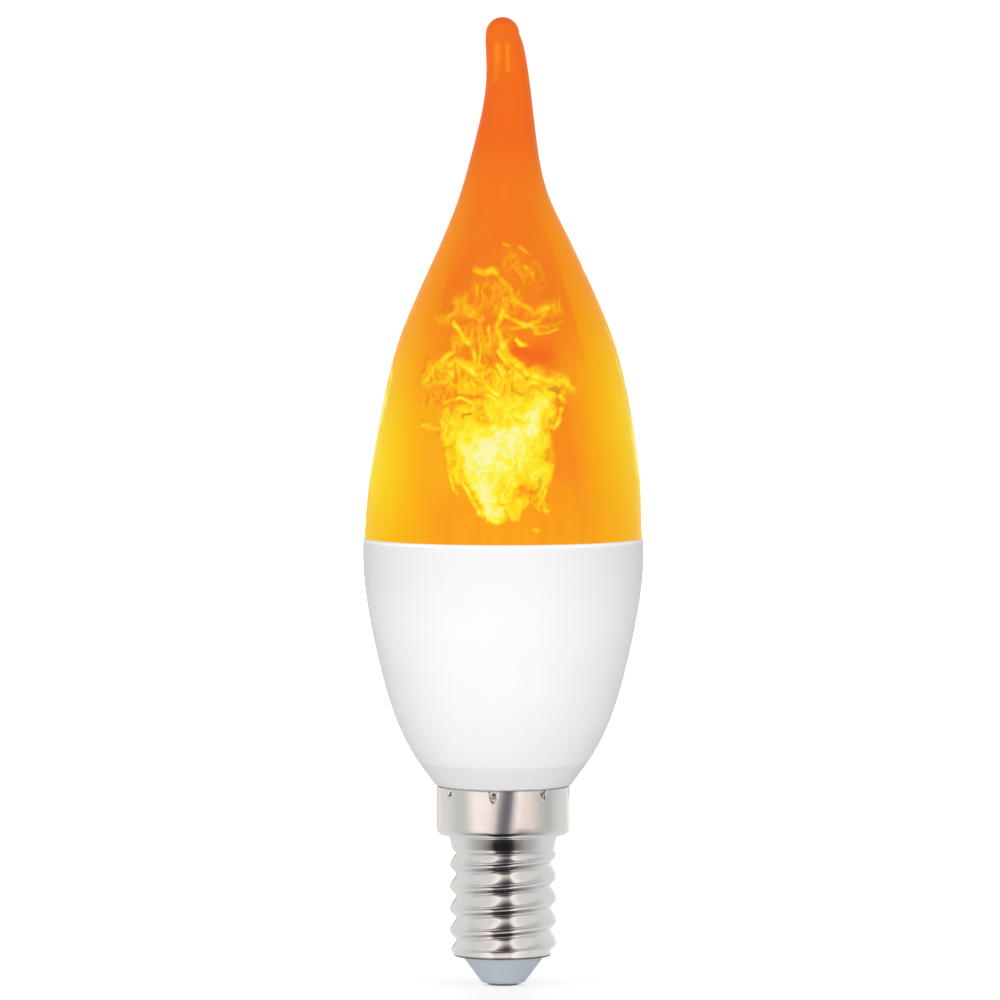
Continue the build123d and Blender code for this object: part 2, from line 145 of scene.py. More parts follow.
# Screw shell in mm: the frame's own, with its thread, neck and edges in more detail
shell_low, shell_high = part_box("screw_shell")
COLLAR_RADIUS = shell_high[1] / MM
COLLAR_TOP = shell_high[2] / MM
COLLAR_FLOOR = COLLAR_TOP - 6.2
COLLAR_CORNER = 0.8
COLLAR_MIDDLE = (COLLAR_TOP + COLLAR_FLOOR) / 2
COLLAR_SWELL = 0.4
SWELL_REACH = 0.45
SHEET = 0.3
HEM = 0.9
NECK_RADIUS = 6.65
NECK_FLARE = 0.19
NECK_MIDDLE = 18.1
NECK_FILLET = 0.3
NECK_BELL = 0.4
NECK_BELL_FOOT = 18.6
SHELL_END = shell_low[2] / MM
LIP_RADIUS = 5.3
LIP_RISE = 0.2
LIP_ROUNDING = ((0.1, 0.02), (0.03, 0.08), (0.0, 0.2))
THREAD_ROOT = 6.0
THREAD_DEPTH = 0.78
THREAD_LEAN = 0.28
THREAD_FULLNESS = 0.9
THREAD_PITCH = 2.822
THREAD_FIRST = SHELL_END + 1.8
THREAD_LOW_RUNOUT = (3.0, 4.9)
THREAD_HIGH_RUNOUT = (16.7, 17.8)

# Staking creases: V-shaped, wider and deeper towards the collar's edge, each with a pit
STAKES = 8
STAKE_FIRST = radians(-98.6)
STAKE_FOOT = COLLAR_TOP - 1.75
STAKE_PIT = COLLAR_TOP - 0.8
STAKE_REACH = 1.0
CREASE_HALF_WIDTH = 0.16
CREASE_SPREAD = 0.52
CREASE_DEPTH = 0.34
PIT_WIDTH = 0.24
PIT_HEIGHT = 0.26
PIT_DEPTH = 0.3

# How finely the shell is drawn
SHELL_COLUMNS = 360
ROW_STEP = 0.1
ARC_STEPS = 8
FILLET_STEPS = 6
WALL_STEPS = 5


def linear(red, green, blue):
    """Screen colour from 0 to 255 as a linear colour."""
    def channel(value):
        share = value / 255
        if share <= 0.04045:
            return share / 12.92
        return ((share + 0.055) / 1.055) ** 2.4
    return (channel(red), channel(green), channel(blue), 1.0)


def screen_stops(stops):
    """Stops of a colour ramp from places and screen colours."""
    return tuple((place, linear(*colour)) for place, colour in stops)


class Shader:
    """Adds shader nodes to one material and wires their inputs."""

    def __init__(self, name):
        self.material = bpy.data.materials.new(name)
        self.material.use_nodes = True
        self.tree = self.material.node_tree
        self.tree.nodes.clear()
        output = self.tree.nodes.new("ShaderNodeOutputMaterial")
        self.bsdf = self.tree.nodes.new("ShaderNodeBsdfPrincipled")
        self.tree.links.new(self.bsdf.outputs[0], output.inputs[0])

    def wire(self, socket, value):
        """Links a socket to another one, or sets it to a constant."""
        if isinstance(value, bpy.types.NodeSocket):
            self.tree.links.new(value, socket)
        else:
            socket.default_value = value

    def set(self, **inputs):
        """Sets or links sockets of the surface shader."""
        for name, value in inputs.items():
            self.wire(self.bsdf.inputs[name.replace("_", " ")], value)

    def place(self):
        """Place on the object, in millimetres."""
        coordinates = self.tree.nodes.new("ShaderNodeTexCoord")
        return self.vector("SCALE", coordinates.outputs["Object"], scale=1 / MM)

    def math(self, operation, first, second=0.0, third=0.0):
        node = self.tree.nodes.new("ShaderNodeMath")
        node.operation = operation
        for socket, value in zip(node.inputs, (first, second, third)):
            self.wire(socket, value)
        return node.outputs[0]

    def clamp(self, value):
        """Value kept between 0 and 1, as a node of its own to keep the shader small."""
        node = self.tree.nodes.new("ShaderNodeClamp")
        self.wire(node.inputs[0], value)
        return node.outputs[0]

    def vector(self, operation, first, second=None, scale=None):
        node = self.tree.nodes.new("ShaderNodeVectorMath")
        node.operation = operation
        self.wire(node.inputs[0], first)
        if second is not None:
            self.wire(node.inputs[1], second)
        if scale is not None:
            self.wire(node.inputs["Scale"], scale)
        return node.outputs["Value" if operation in ("DOT_PRODUCT", "LENGTH") else "Vector"]

    def split(self, vector):
        node = self.tree.nodes.new("ShaderNodeSeparateXYZ")
        self.wire(node.inputs[0], vector)
        return node.outputs[0], node.outputs[1], node.outputs[2]

    def join(self, x, y, z):
        node = self.tree.nodes.new("ShaderNodeCombineXYZ")
        for socket, value in zip(node.inputs, (x, y, z)):
            self.wire(socket, value)
        return node.outputs[0]

    def noise(self, vector, scale, detail=2.0, roughness=0.5, kind=0):
        """Value of a noise, or its colour if the kind is 1."""
        node = self.tree.nodes.new("ShaderNodeTexNoise")
        self.wire(node.inputs["Vector"], vector)
        node.inputs["Scale"].default_value = scale
        node.inputs["Detail"].default_value = detail
        node.inputs["Roughness"].default_value = roughness
        return node.outputs[kind]

    def ramp(self, value, low, high, to_low=0.0, to_high=1.0, smooth=True):
        """Value carried from one range to another, and kept inside it."""
        node = self.tree.nodes.new("ShaderNodeMapRange")
        node.interpolation_type = "SMOOTHSTEP" if smooth else "LINEAR"
        for name, setting in (("Value", value), ("From Min", low), ("From Max", high),
                              ("To Min", to_low), ("To Max", to_high)):
            self.wire(node.inputs[name], setting)
        return node.outputs[0]

    def colours(self, value, stops):
        """Colour ramp from a list of places from 0 to 1 and linear colours."""
        node = self.tree.nodes.new("ShaderNodeValToRGB")
        self.wire(node.inputs[0], value)
        elements = node.color_ramp.elements
        while len(elements) < len(stops):
            elements.new(0.5)
        for element, (place, colour) in zip(elements, stops):
            element.position = place
            element.color = colour
        return node.outputs[0]

    def mix(self, share, first, second):
        node = self.tree.nodes.new("ShaderNodeMix")
        node.data_type = "RGBA"
        self.wire(node.inputs[0], share)
        self.wire(node.inputs[6], first)
        self.wire(node.inputs[7], second)
        return node.outputs[2]

    def bump(self, height, strength, distance):
        node = self.tree.nodes.new("ShaderNodeBump")
        self.wire(node.inputs["Height"], height)
        node.inputs["Strength"].default_value = strength
        node.inputs["Distance"].default_value = distance
        self.tree.links.new(node.outputs[0], self.bsdf.inputs["Normal"])


# Cover: share of its colour that is lit from outside, and the strength of its own glow
COVER_BODY_SHARE = 0.3
COVER_GLOW = 0.66

# Ground colour of the cover from its rim to its tip: share of the way, screen colour
GROUND_COLOURS = (
    (0.00, (250, 166, 28)),
    (0.16, (250, 154, 26)),
    (0.34, (248, 147, 27)),
    (0.52, (245, 134, 31)),
    (0.68, (243, 122, 33)),
    (0.78, (242, 107, 32)),
    (0.85, (242, 108, 32)),
    (1.00, (244, 114, 33)),
)
# Colour of the flame by its light
FLAME_COLOURS = (
    (0.00, (248, 148, 28)),
    (0.22, (250, 166, 26)),
    (0.42, (252, 198, 28)),
    (0.60, (251, 226, 38)),
    (0.76, (250, 238, 72)),
    (1.00, (249, 243, 165)),
)
# Single screen colours of the cover
STREAK_RED = (240, 110, 27)
LIMB_AMBER = (254, 162, 16)
FLANK_YELLOW = (255, 222, 16)
SHADE_RED = (243, 104, 30)
HAZE_YELLOW = (252, 192, 30)
DUSK_RED = (236, 104, 26)
GAP_BROWN = (214, 118, 24)
# Painted highlight: colour of the pale streaks in the tail
PAINTED_HIGHLIGHT_AMBER = (250, 152, 28)
# Painted shade: redder colour at the tip's edge
PAINTED_TIP_SHADE_RED = (236, 86, 32)

# Heights in mm over which the cover's colours fade in or out
HEIGHT_DRIFT = 8
LEAN_HEIGHTS = (62, 82)
LIMB_HEIGHTS = (108, 92)
FLANK_HEIGHTS = (92, 68)
FLANK_FOOT = (57, 66)
STRAND_FADE = (92, 80)
# Heights of the painted shade at the tip
PAINTED_TIP_SHADE_HEIGHTS = (TIP_HEIGHT - 1.3, TIP_HEIGHT - 0.1)

# Noise in the flame: offset of each quarter, and how far places are pushed, in mm
HALF = (0.5, 0.5, 0.5)
QUARTER_OFFSET = 23.0
FRAY = 1.7
GENTLE_SHARE = 0.42
SWIRL = 2.0
# Softness of the strokes' edges, as a share of their radius
SHADE_SOFTNESS = 0.98
BODY_SOFTNESS = 0.5
WISP_SOFTNESS = 0.8
LINE_SOFTNESS = 0.95
GAP_SOFTNESS = 0.9
# Fibres: scale of the noise, width of its ridges, weight
FIBRE_LAYERS = ((0.5, 0.11, 0.45), (1.05, 0.15, 0.35), (2.3, 0.16, 0.2))
# Added to the scale across the two side flames, which makes them narrower
SIDE_NARROWING = 0.6

# Housing, in mm: height of the step above its foot, under which painted shade darkens it,
# heights over which painted shade turns it greyer, and how far below its rim the painted highlight
# begins and is full
FOOT_SHADE_TOP = 28.4
UPPER_SHADE_HEIGHTS = (46.0, 56.0)
RIM_HIGHLIGHT_DEPTHS = (0.6, 0.35)

# Flame pattern, in mm across and up one quarter of the cover.
# Each stroke is a line of points, a radius and a level.
FLAME_BODY = (
    (((-4.9, 72.6), (-3.0, 73.2)), 2.3, 0.7),
    (((-0.6, 73.6), (4.2, 74.4)), 2.5, 0.9),
    (((-3.7, 70.2), (3.1, 70.2)), 2.9, 1.0),
    (((-2.5, 66.8), (2.9, 66.8)), 3.0, 1.0),
    (((-2.2, 64.0), (0.0, 63.8)), 2.0, 1.0),
    (((-1.5, 61.6), (-0.8, 61.0)), 1.25, 0.95),
    (((4.4, 64.9), (4.5, 67.2)), 1.55, 0.85),
    (((-4.6, 77.1), (2.0, 76.8)), 1.5, 0.66),
    (((3.4, 77.2), (6.6, 76.6)), 1.2, 0.72),
    (((-7.2, 73.4), (-6.8, 70.8)), 1.2, 0.78),
    (((-6.5, 68.8), (-5.6, 65.4)), 1.0, 0.78),
    (((0.6, 61.2), (2.4, 62.3)), 0.9, 0.75),
    (((5.7, 75.6), (5.5, 72.6)), 1.3, 0.8),
)
FLAME_WISPS = (
    (((-4.8, 78.4), (1.2, 78.0)), 1.8, 1.0),
    (((-4.6, 83.0), (-1.0, 82.4)), 2.1, 0.58),
    (((-2.3, 88.6), (0.4, 87.8)), 2.0, 0.55),
    (((0.8, 92.8), (3.4, 90.6)), 1.8, 0.42),
    (((4.0, 84.4), (7.2, 84.8)), 0.6, 0.6),
    (((3.8, 86.0), (6.8, 87.0)), 1.0, 0.45),
    (((-4.4, 86.4), (-2.8, 85.6)), 0.9, 0.75),
    (((-9.2, 78.4), (-5.2, 79.0)), 1.7, 1.0),
    (((-9.4, 75.4), (-7.0, 76.6)), 1.2, 0.7),
    (((-8.9, 85.9), (-4.9, 87.2)), 1.6, 0.56),
    (((-9.8, 71.6), (-7.4, 71.5)), 0.8, 1.0),
    (((3.4, 63.4), (5.6, 61.6)), 0.9, 0.9),
    (((2.4, 78.4), (7.6, 77.2)), 1.1, 0.9),
)
FLAME_STRANDS = (
    # Right shoulder
    ((
        (0.0, 82.4), (0.5, 80.8), (1.5, 79.8), (3.0, 78.8), (5.2, 77.9), (8.0, 77.3), (9.3, 75.4),
    ), 0.5, 1.0),
    (((-0.4, 81.4), (0.7, 79.6), (1.8, 78.4), (3.6, 77.5), (6.0, 76.9)), 0.3, 0.9),
    (((5.3, 77.1), (7.0, 76.2), (8.0, 74.4)), 0.3, 0.9),
    # Left shoulder
    ((
        (-5.7, 80.0), (-4.2, 78.9), (-3.0, 78.1), (-1.4, 76.5), (0.5, 75.3), (2.8, 73.8),
    ), 0.38, 1.0),
    (((-4.0, 77.4), (-1.0, 75.4), (0.8, 73.8)), 0.22, 0.95),
    (((-7.4, 75.0), (-5.2, 75.6), (-3.4, 74.6), (-1.4, 74.4)), 0.24, 0.85),
    (((-6.0, 82.6), (-6.3, 81.4), (-7.4, 80.4), (-9.6, 78.7)), 0.28, 0.75),
    # Neck of the flame
    (((-0.1, 86.4), (-0.8, 84.4), (-0.4, 82.9), (0.2, 81.2)), 0.34, 0.9),
    (((-1.9, 84.4), (-1.7, 82.6), (-2.3, 81.2)), 0.26, 0.85),
    ((
        (-6.2, 84.9), (-5.5, 83.7), (-4.9, 82.7), (-3.9, 82.1), (-3.6, 80.6), (-3.9, 79.4),
    ), 0.34, 0.9),
    (((-4.3, 87.0), (-3.4, 85.6), (-2.4, 84.4)), 0.24, 0.65),
    (((-3.2, 84.6), (-2.9, 82.4), (-3.0, 79.8), (-1.2, 78.0)), 0.18, 0.7),
    (((-0.7, 79.8), (-0.1, 78.4), (0.4, 76.8)), 0.3, 0.9),
    # Crown and its branches
    (((-3.5, 91.7), (-2.3, 91.1), (-1.4, 91.6), (-0.3, 90.4)), 0.42, 0.95),
    ((
        (-0.3, 90.4), (0.8, 89.3), (1.3, 88.0), (2.8, 87.1), (4.0, 86.1), (5.2, 86.6), (6.2, 87.2),
    ), 0.38, 0.85),
    (((0.0, 86.0), (1.5, 85.3), (2.9, 84.5), (4.5, 85.3), (5.8, 86.7)), 0.32, 0.85),
    (((1.0, 84.2), (4.0, 84.5), (7.8, 84.8)), 0.24, 0.65),
    (((4.2, 83.7), (5.8, 83.8), (7.8, 84.4)), 0.22, 0.65),
    (((1.6, 82.9), (2.3, 82.3), (3.4, 82.1)), 0.28, 0.85),
    (((0.0, 94.7), (1.5, 94.2)), 0.24, 0.7),
    (((2.0, 94.3), (4.3, 93.1)), 0.28, 0.75),
    (((2.9, 92.0), (3.7, 90.7), (4.7, 89.2)), 0.28, 0.75),
    (((-9.0, 86.6), (-7.8, 85.5), (-6.2, 86.1), (-4.7, 88.4)), 0.36, 0.5),
    # Round the body
    (((-5.9, 63.6), (-6.6, 65.2), (-6.9, 67.6)), 0.24, 0.85),
    (((-3.0, 61.2), (-4.5, 63.8), (-6.2, 66.8)), 0.32, 1.0),
    (((6.3, 67.0), (5.6, 65.4), (4.5, 63.8), (5.7, 61.7)), 0.26, 0.95),
    (((5.4, 61.4), (5.0, 63.0), (5.9, 65.8)), 0.26, 0.9),
    (((7.3, 74.2), (6.9, 72.6), (5.9, 70.9)), 0.28, 0.9),
    (((3.7, 59.2), (4.9, 58.5)), 0.3, 0.8),
)
FLAME_CORE = (
    (((-1.2, 60.6), (-2.5, 64.2), (-3.4, 67.4)), 1.3, 0.9),
    (((-2.8, 68.2), (0.8, 69.8)), 2.0, 1.0),
    (((1.0, 70.2), (3.4, 72.2), (4.5, 74.4)), 1.0, 0.85),
)
FLAME_SHADE = (
    (((0.8, 93.0), (0.0, 86.0)), 6.5, 0.25),
    (((5.8, 91.0), (8.0, 84.6)), 3.4, 0.4),
    (((-5.4, 91.0), (-6.6, 88.4)), 2.6, 0.4),
    (((1.7, 81.5), (4.6, 80.9)), 1.8, 1.0),
    (((7.5, 73.4), (7.2, 67.2)), 1.9, 0.3),
)
FLAME_HAZE = (
    (((-8.7, 73.0), (-7.6, 65.4)), 2.4, 0.45),
)
FLAME_GAPS = (
    (((-5.3, 73.0), (-4.9, 73.4), (-4.1, 73.5)), 0.16, 0.8),
    (((6.3, 76.5), (6.8, 76.3)), 0.34, 0.8),
    (((5.9, 72.9), (6.2, 72.3)), 0.3, 0.5),
    (((-2.0, 80.9), (-1.8, 80.0)), 0.3, 0.6),
    (((-3.5, 81.9), (-3.4, 81.0)), 0.26, 0.5),
    (((1.4, 76.6), (2.6, 76.0)), 0.22, 0.4),
    (((4.6, 65.4), (4.4, 64.0)), 0.3, 0.5),
)
# Painted highlights: pale streaks in the tail
PAINTED_TAIL_HIGHLIGHTS = (
    (((-0.74, 119.9), (-0.8, 118.0)), 0.34, 0.62),
    (((-0.8, 118.0), (-0.98, 115.6)), 0.34, 0.36),
    (((0.54, 120.0), (0.62, 116.8)), 0.24, 0.6),
)


def strokes(shader, place, lines, softness, tapered=False):
    """Brightest of several soft-edged strokes at a place; tapered ones fade out at the end."""
    brightest = 0.0
    for points, radius, level in lines:
        for start, end in zip(points, points[1:]):
            along = Vector((end[0] - start[0], 0, end[1] - start[1]))
            from_start = shader.vector("SUBTRACT", place, (start[0], 0, start[1]))
            share = shader.clamp(shader.vector(
                "DOT_PRODUCT", from_start, tuple(along / along.length_squared)
            ))
            nearest = shader.vector("SCALE", tuple(along), scale=share)
            distance = shader.vector(
                "LENGTH", shader.vector("SUBTRACT", from_start, nearest)
            )
            edge = radius * softness
            value = shader.ramp(distance, radius + edge, max(radius - edge, 0), 0, level)
            if tapered and end == points[-1]:
                value = shader.math("MULTIPLY", value, shader.ramp(share, 1.08, 0.2))
            brightest = shader.math("MAXIMUM", value, brightest)
    return brightest


def cover_quarters(shader, x, y):
    """Azimuth, its quarter, 1 if that is a side one, and the place across it in mm."""
    azimuth = shader.math("ARCTAN2", x, shader.math("MULTIPLY", y, -1))
    radius = shader.vector("LENGTH", shader.join(x, y, 0.0))
    quarter = shader.math("ROUND", shader.math("DIVIDE", azimuth, pi / 2))
    folded = shader.math("SUBTRACT", azimuth, shader.math("MULTIPLY", quarter, pi / 2))
    side = shader.math("PINGPONG", shader.math("ABSOLUTE", quarter), 1.0)
    across = shader.math("MULTIPLY", radius, shader.math("SINE", folded))
    narrowing = shader.math("MULTIPLY_ADD", side, SIDE_NARROWING, 1.0)
    return azimuth, quarter, side, shader.math("MULTIPLY", across, narrowing)


def cover_ground(shader, place, axes, azimuth):
    """Colour round the flame: red-orange in the tail, amber below, yellow at the flanks.

    Also returns the share of the flank's colour and how far sideways a place faces.
    """
    x, y, z = axes
    drift = shader.noise(place, 0.11)
    height = shader.math(
        "ADD", z, shader.math("MULTIPLY", shader.math("SUBTRACT", drift, 0.5), HEIGHT_DRIFT)
    )
    share = shader.ramp(height, RIM_HEIGHT, TIP_HEIGHT, smooth=False)
    ground = shader.colours(share, screen_stops(GROUND_COLOURS))
    upright = shader.join(
        shader.math("MULTIPLY", x, 0.8),
        shader.math("MULTIPLY", y, 0.8),
        shader.math("MULTIPLY", z, 0.06),
    )
    streak = shader.ramp(shader.noise(upright, 0.7, 2.0, 0.6), 0.3, 0.7, 0.0, 0.22)
    ground = shader.mix(streak, ground, linear(*STREAK_RED))
    right = shader.math("SINE", azimuth)
    sideways = shader.math("ABSOLUTE", right)
    lean = shader.ramp(z, *LEAN_HEIGHTS, -0.09, 0.06)
    leaning = shader.math("MULTIPLY_ADD", right, lean, sideways)
    upper_limb = shader.math(
        "MULTIPLY",
        shader.ramp(leaning, 0.42, 1.0, 0.0, 0.66), shader.ramp(height, *LIMB_HEIGHTS),
    )
    ground = shader.mix(upper_limb, ground, linear(*LIMB_AMBER))
    flank = shader.math(
        "MULTIPLY", shader.ramp(leaning, 0.45, 1.13), shader.ramp(height, *FLANK_HEIGHTS)
    )
    flank = shader.math("MULTIPLY", flank, shader.ramp(z, *FLANK_FOOT, 0.62, 1.0))
    return shader.mix(flank, ground, linear(*FLANK_YELLOW)), flank, sideways


def fibre_ridges(shader, seeded, coarse, fine):
    """Thin bright ridges of noise, drawn out along the rising flame."""
    place = shader.vector("ADD", seeded, shader.vector("SCALE", coarse, scale=5.0))
    place = shader.vector("ADD", place, shader.vector("SCALE", fine, scale=1.3))
    place = shader.vector("MULTIPLY", place, (1.0, 1.0, 0.5))
    ridges = 0.0
    for scale, width, weight in FIBRE_LAYERS:
        sheet = shader.noise(place, scale, 0.6, 0.45)
        fold = shader.math("ABSOLUTE", shader.math("SUBTRACT", sheet, 0.5))
        ridges = shader.math("ADD", shader.ramp(fold, width, 0.0, 0.0, weight), ridges)
    return ridges


def flame_light(shader, body, wisps, strands, core, ridges, seeded, height):
    """Light of the flame from its body, wisps, strands and core."""
    torn = shader.ramp(shader.math("MULTIPLY_ADD", ridges, 0.7, body), 0.35, 0.95)
    body_light = shader.math(
        "MULTIPLY",
        shader.math("MULTIPLY", body, torn), shader.math("MULTIPLY_ADD", ridges, 0.34, 0.5),
    )
    wisp_light = shader.math("MULTIPLY", wisps, shader.math("MULTIPLY_ADD", ridges, 0.5, 0.18))
    flicker = shader.ramp(shader.noise(seeded, 0.55, 1.0), 0.36, 0.64, 0.34, 0.62)
    strand_light = shader.math(
        "MULTIPLY", strands, shader.math("MULTIPLY_ADD", ridges, 0.26, flicker)
    )
    fading = shader.ramp(height, *STRAND_FADE, 0.66, 1.0)
    strand_light = shader.math("MULTIPLY", strand_light, fading)
    light = shader.math("MAXIMUM", shader.math("MAXIMUM", body_light, wisp_light), strand_light)
    core_light = shader.math("MULTIPLY", core, shader.math("MULTIPLY_ADD", ridges, 0.12, 0.3))
    return shader.math("ADD", light, core_light)


def cover_material():
    """Amber plastic lit from inside, with a flame in each quarter."""
    shader = Shader("amber_cover_lit")
    place = shader.place()
    x, y, z = shader.split(place)
    azimuth, quarter, side, across = cover_quarters(shader, x, y)
    ground, flank, sideways = cover_ground(shader, place, (x, y, z), azimuth)

    # Places in the pattern, bent by slow noise
    flatten = (1.0, 0.0, 1.0)
    seeded = shader.join(across, shader.math("MULTIPLY", quarter, QUARTER_OFFSET), z)
    coarse = shader.vector("SUBTRACT", shader.noise(seeded, 0.26, 1.0, kind=1), HALF)
    fine = shader.vector("SUBTRACT", shader.noise(seeded, 0.62, 1.5, kind=1), HALF)
    flat_place = shader.join(across, 0.0, z)
    fray = shader.vector("MULTIPLY", shader.vector("SCALE", fine, scale=FRAY), flatten)
    bent = shader.vector("ADD", flat_place, fray)
    gentle = shader.vector("ADD", flat_place, shader.vector("SCALE", fray, scale=GENTLE_SHARE))
    swirl = shader.vector("MULTIPLY", shader.vector("SCALE", coarse, scale=SWIRL), flatten)
    swirled = shader.vector("ADD", bent, swirl)
    ridges = fibre_ridges(shader, seeded, coarse, fine)

    # Redder and yellower places behind the flame, away from the flanks
    calm = shader.math("SUBTRACT", 1.0, shader.math("MAXIMUM", flank, side))
    shade = shader.math("MULTIPLY", strokes(shader, swirled, FLAME_SHADE, SHADE_SOFTNESS), calm)
    ground = shader.mix(shade, ground, linear(*SHADE_RED))
    haze = shader.math("MULTIPLY", strokes(shader, swirled, FLAME_HAZE, SHADE_SOFTNESS), calm)
    ground = shader.mix(haze, ground, linear(*HAZE_YELLOW))

    # The flame, with red dusk between the fibres of its wisps
    body = strokes(shader, swirled, FLAME_BODY, BODY_SOFTNESS)
    wisps = strokes(shader, swirled, FLAME_WISPS, WISP_SOFTNESS)
    dusk = shader.math("MULTIPLY", shader.ramp(ridges, 0.34, 0.06, 0.0, 0.8), wisps)
    dusk = shader.math("MULTIPLY", dusk, calm)
    ground = shader.mix(dusk, ground, linear(*DUSK_RED))
    strands = strokes(shader, gentle, FLAME_STRANDS, LINE_SOFTNESS, tapered=True)
    core = strokes(shader, swirled, FLAME_CORE, LINE_SOFTNESS)
    light = flame_light(shader, body, wisps, strands, core, ridges, seeded, z)
    light = shader.math("MULTIPLY", light, shader.math("MULTIPLY_ADD", side, 0.1, 1.0))
    flame = shader.colours(light, screen_stops(FLAME_COLOURS))
    hidden = shader.math(
        "MULTIPLY", shader.math("MAXIMUM", flank, side),
        shader.ramp(sideways, 0.945, 0.985, 0.75, 0.14),
    )
    shown = shader.ramp(shader.math("SUBTRACT", light, hidden), 0.02, 0.3)
    colour = shader.mix(shown, ground, flame)
    gaps = shader.math("MULTIPLY", strokes(shader, bent, FLAME_GAPS, GAP_SOFTNESS), calm)
    colour = shader.mix(gaps, colour, linear(*GAP_BROWN))

    # Pale streaks in the tail as painted highlights, and a redder tip as painted edge shade
    painted_highlights = strokes(shader, flat_place, PAINTED_TAIL_HIGHLIGHTS, LINE_SOFTNESS)
    colour = shader.mix(painted_highlights, colour, linear(*PAINTED_HIGHLIGHT_AMBER))
    # Painted shade: the tip turns redder towards its top
    painted_tip_shade = shader.ramp(z, *PAINTED_TIP_SHADE_HEIGHTS, 0.0, 0.7)
    colour = shader.mix(painted_tip_shade, colour, linear(*PAINTED_TIP_SHADE_RED))

    shader.bump(shader.noise(place, 1.4), 0.05, 0.0002)
    roughness = shader.ramp(shader.noise(place, 0.6, 3.0), 0.3, 0.7, 0.3, 0.38)
    shader.set(
        Base_Color=shader.vector("SCALE", colour, scale=COVER_BODY_SHARE),
        Roughness=roughness,
        Specular_IOR_Level=0.04,
        Emission_Color=colour,
        Emission_Strength=COVER_GLOW,
    )
    shader.material.cycles.emission_sampling = "NONE"
    return shader.material


def plastic(name, colour, tint, roughness, coat=0.0, grain=1.2, speckle=0.03):
    """Moulded plastic: slight colour drift, fine texture and varied gloss."""
    shader = Shader(name)
    place = shader.place()
    spread = shader.ramp(shader.noise(place, grain * 0.12, 3.0), 0.3, 0.7)
    shader.set(
        Base_Color=shader.mix(spread, colour, tint),
        Roughness=shader.ramp(
            shader.noise(place, grain, 4.0, 0.6),
            0.3, 0.7, roughness - 0.04, roughness + 0.04,
        ),
        Coat_Weight=coat,
        Coat_Roughness=0.1,
    )
    shader.bump(shader.noise(place, grain * 5), speckle, 0.0001)
    return shader.material


def housing_material():
    """White gloss plastic: painted shade makes it greyer towards the top and at the foot band, a
    painted highlight lighter at the rim.
    """
    shader = Shader("white_housing_gloss")
    place = shader.place()
    height = shader.split(place)[2]
    drift = shader.ramp(shader.noise(place, 0.1, 3.0), 0.3, 0.7)
    body = shader.mix(drift, linear(236, 237, 238), linear(233, 234, 236))
    # Painted shade: greyer towards the top
    upper_shade = shader.ramp(height, *UPPER_SHADE_HEIGHTS)
    body = shader.mix(upper_shade, body, linear(228, 229, 229))
    # Painted shade: darker band below the step above the foot
    foot_shade = shader.ramp(height, FOOT_SHADE_TOP + 0.25, FOOT_SHADE_TOP - 0.05)
    body = shader.mix(foot_shade, body, linear(226, 227, 228))
    # Painted highlight: lighter band just below the rim
    edge = shader.ramp(height, *(RIM_HEIGHT - depth for depth in RIM_HIGHLIGHT_DEPTHS))
    shader.set(
        Base_Color=shader.mix(edge, body, linear(244, 244, 244)),
        Roughness=shader.ramp(shader.noise(place, 1.0, 4.0, 0.6), 0.3, 0.7, 0.4, 0.48),
        Specular_IOR_Level=0.3,
    )
    shader.bump(shader.noise(place, 5.0), 0.02, 0.0001)
    return shader.material


def metal(name, colour, tint, roughness, scratch=0.05, painted_shade_edge=None):
    """Metal: faint drawn lines round the axis, uneven gloss, and painted shade just above a lower
    edge if its height is given.
    """
    shader = Shader(name)
    place = shader.place()
    x, y, z = shader.split(place)
    azimuth = shader.math("ARCTAN2", x, y)
    rings = shader.join(azimuth, 0.0, shader.math("MULTIPLY", z, 6.0))
    lines = shader.noise(rings, 1.6, 5.0, 0.7)
    patches = shader.noise(place, 0.35, 3.0, 0.6)
    surface = shader.mix(shader.ramp(patches, 0.3, 0.7), colour, tint)
    if painted_shade_edge is not None:
        # Painted shade: darker within about 0.3 mm above the given edge
        edge = shader.ramp(z, painted_shade_edge + 0.34, painted_shade_edge + 0.2)
        surface = shader.mix(edge, surface, linear(112, 110, 110))
    shader.set(
        Base_Color=surface,
        Metallic=1.0,
        Roughness=shader.ramp(patches, 0.3, 0.7, roughness - 0.03, roughness + 0.05),
    )
    shader.bump(lines, scratch, 0.0001)
    return shader.material


